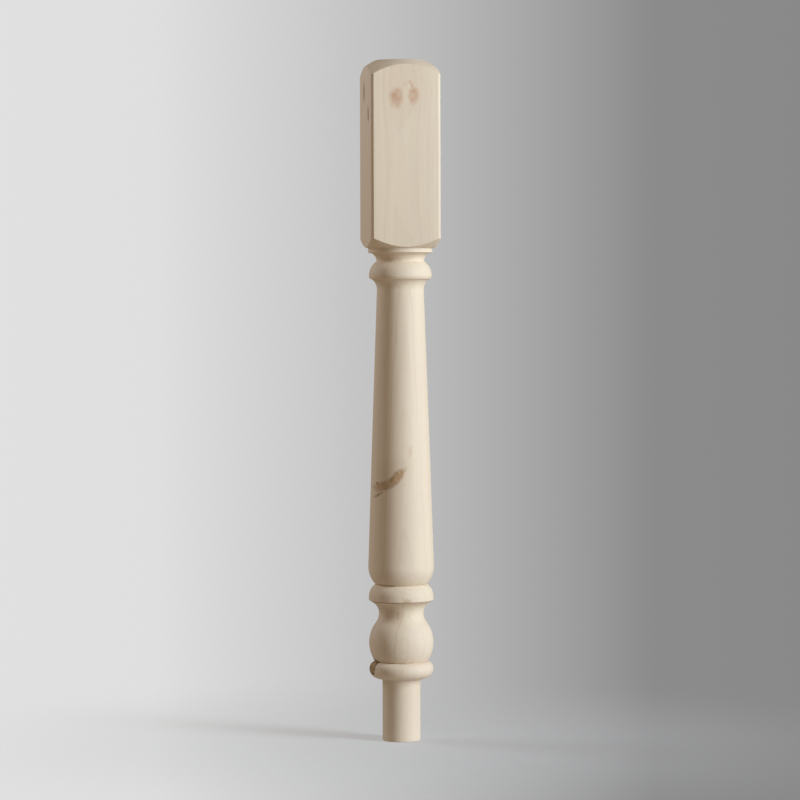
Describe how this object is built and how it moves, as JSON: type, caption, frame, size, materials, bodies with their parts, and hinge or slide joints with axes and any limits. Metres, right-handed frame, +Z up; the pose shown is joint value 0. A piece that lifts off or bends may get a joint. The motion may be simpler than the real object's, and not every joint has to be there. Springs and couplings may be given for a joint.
{
  "type": "newel post",
  "caption": "Turned pine newel post with a square block above, a tapering turned shaft, and a round spigot below that fits the socket of a newel base.",
  "frame": {"origin": "centre of the spigot's flat end, on the turning axis", "axes": "+Z up along the turning axis towards the square block; the block's faces point along +X, -X, +Y and -Y"},
  "size_m": [0.09, 0.09, 0.876],
  "materials": {
    "pine": "bare, sanded smooth"
  },
  "bodies": {
    "root": {"newel_post": "pine"}
  },
  "joints": []
}
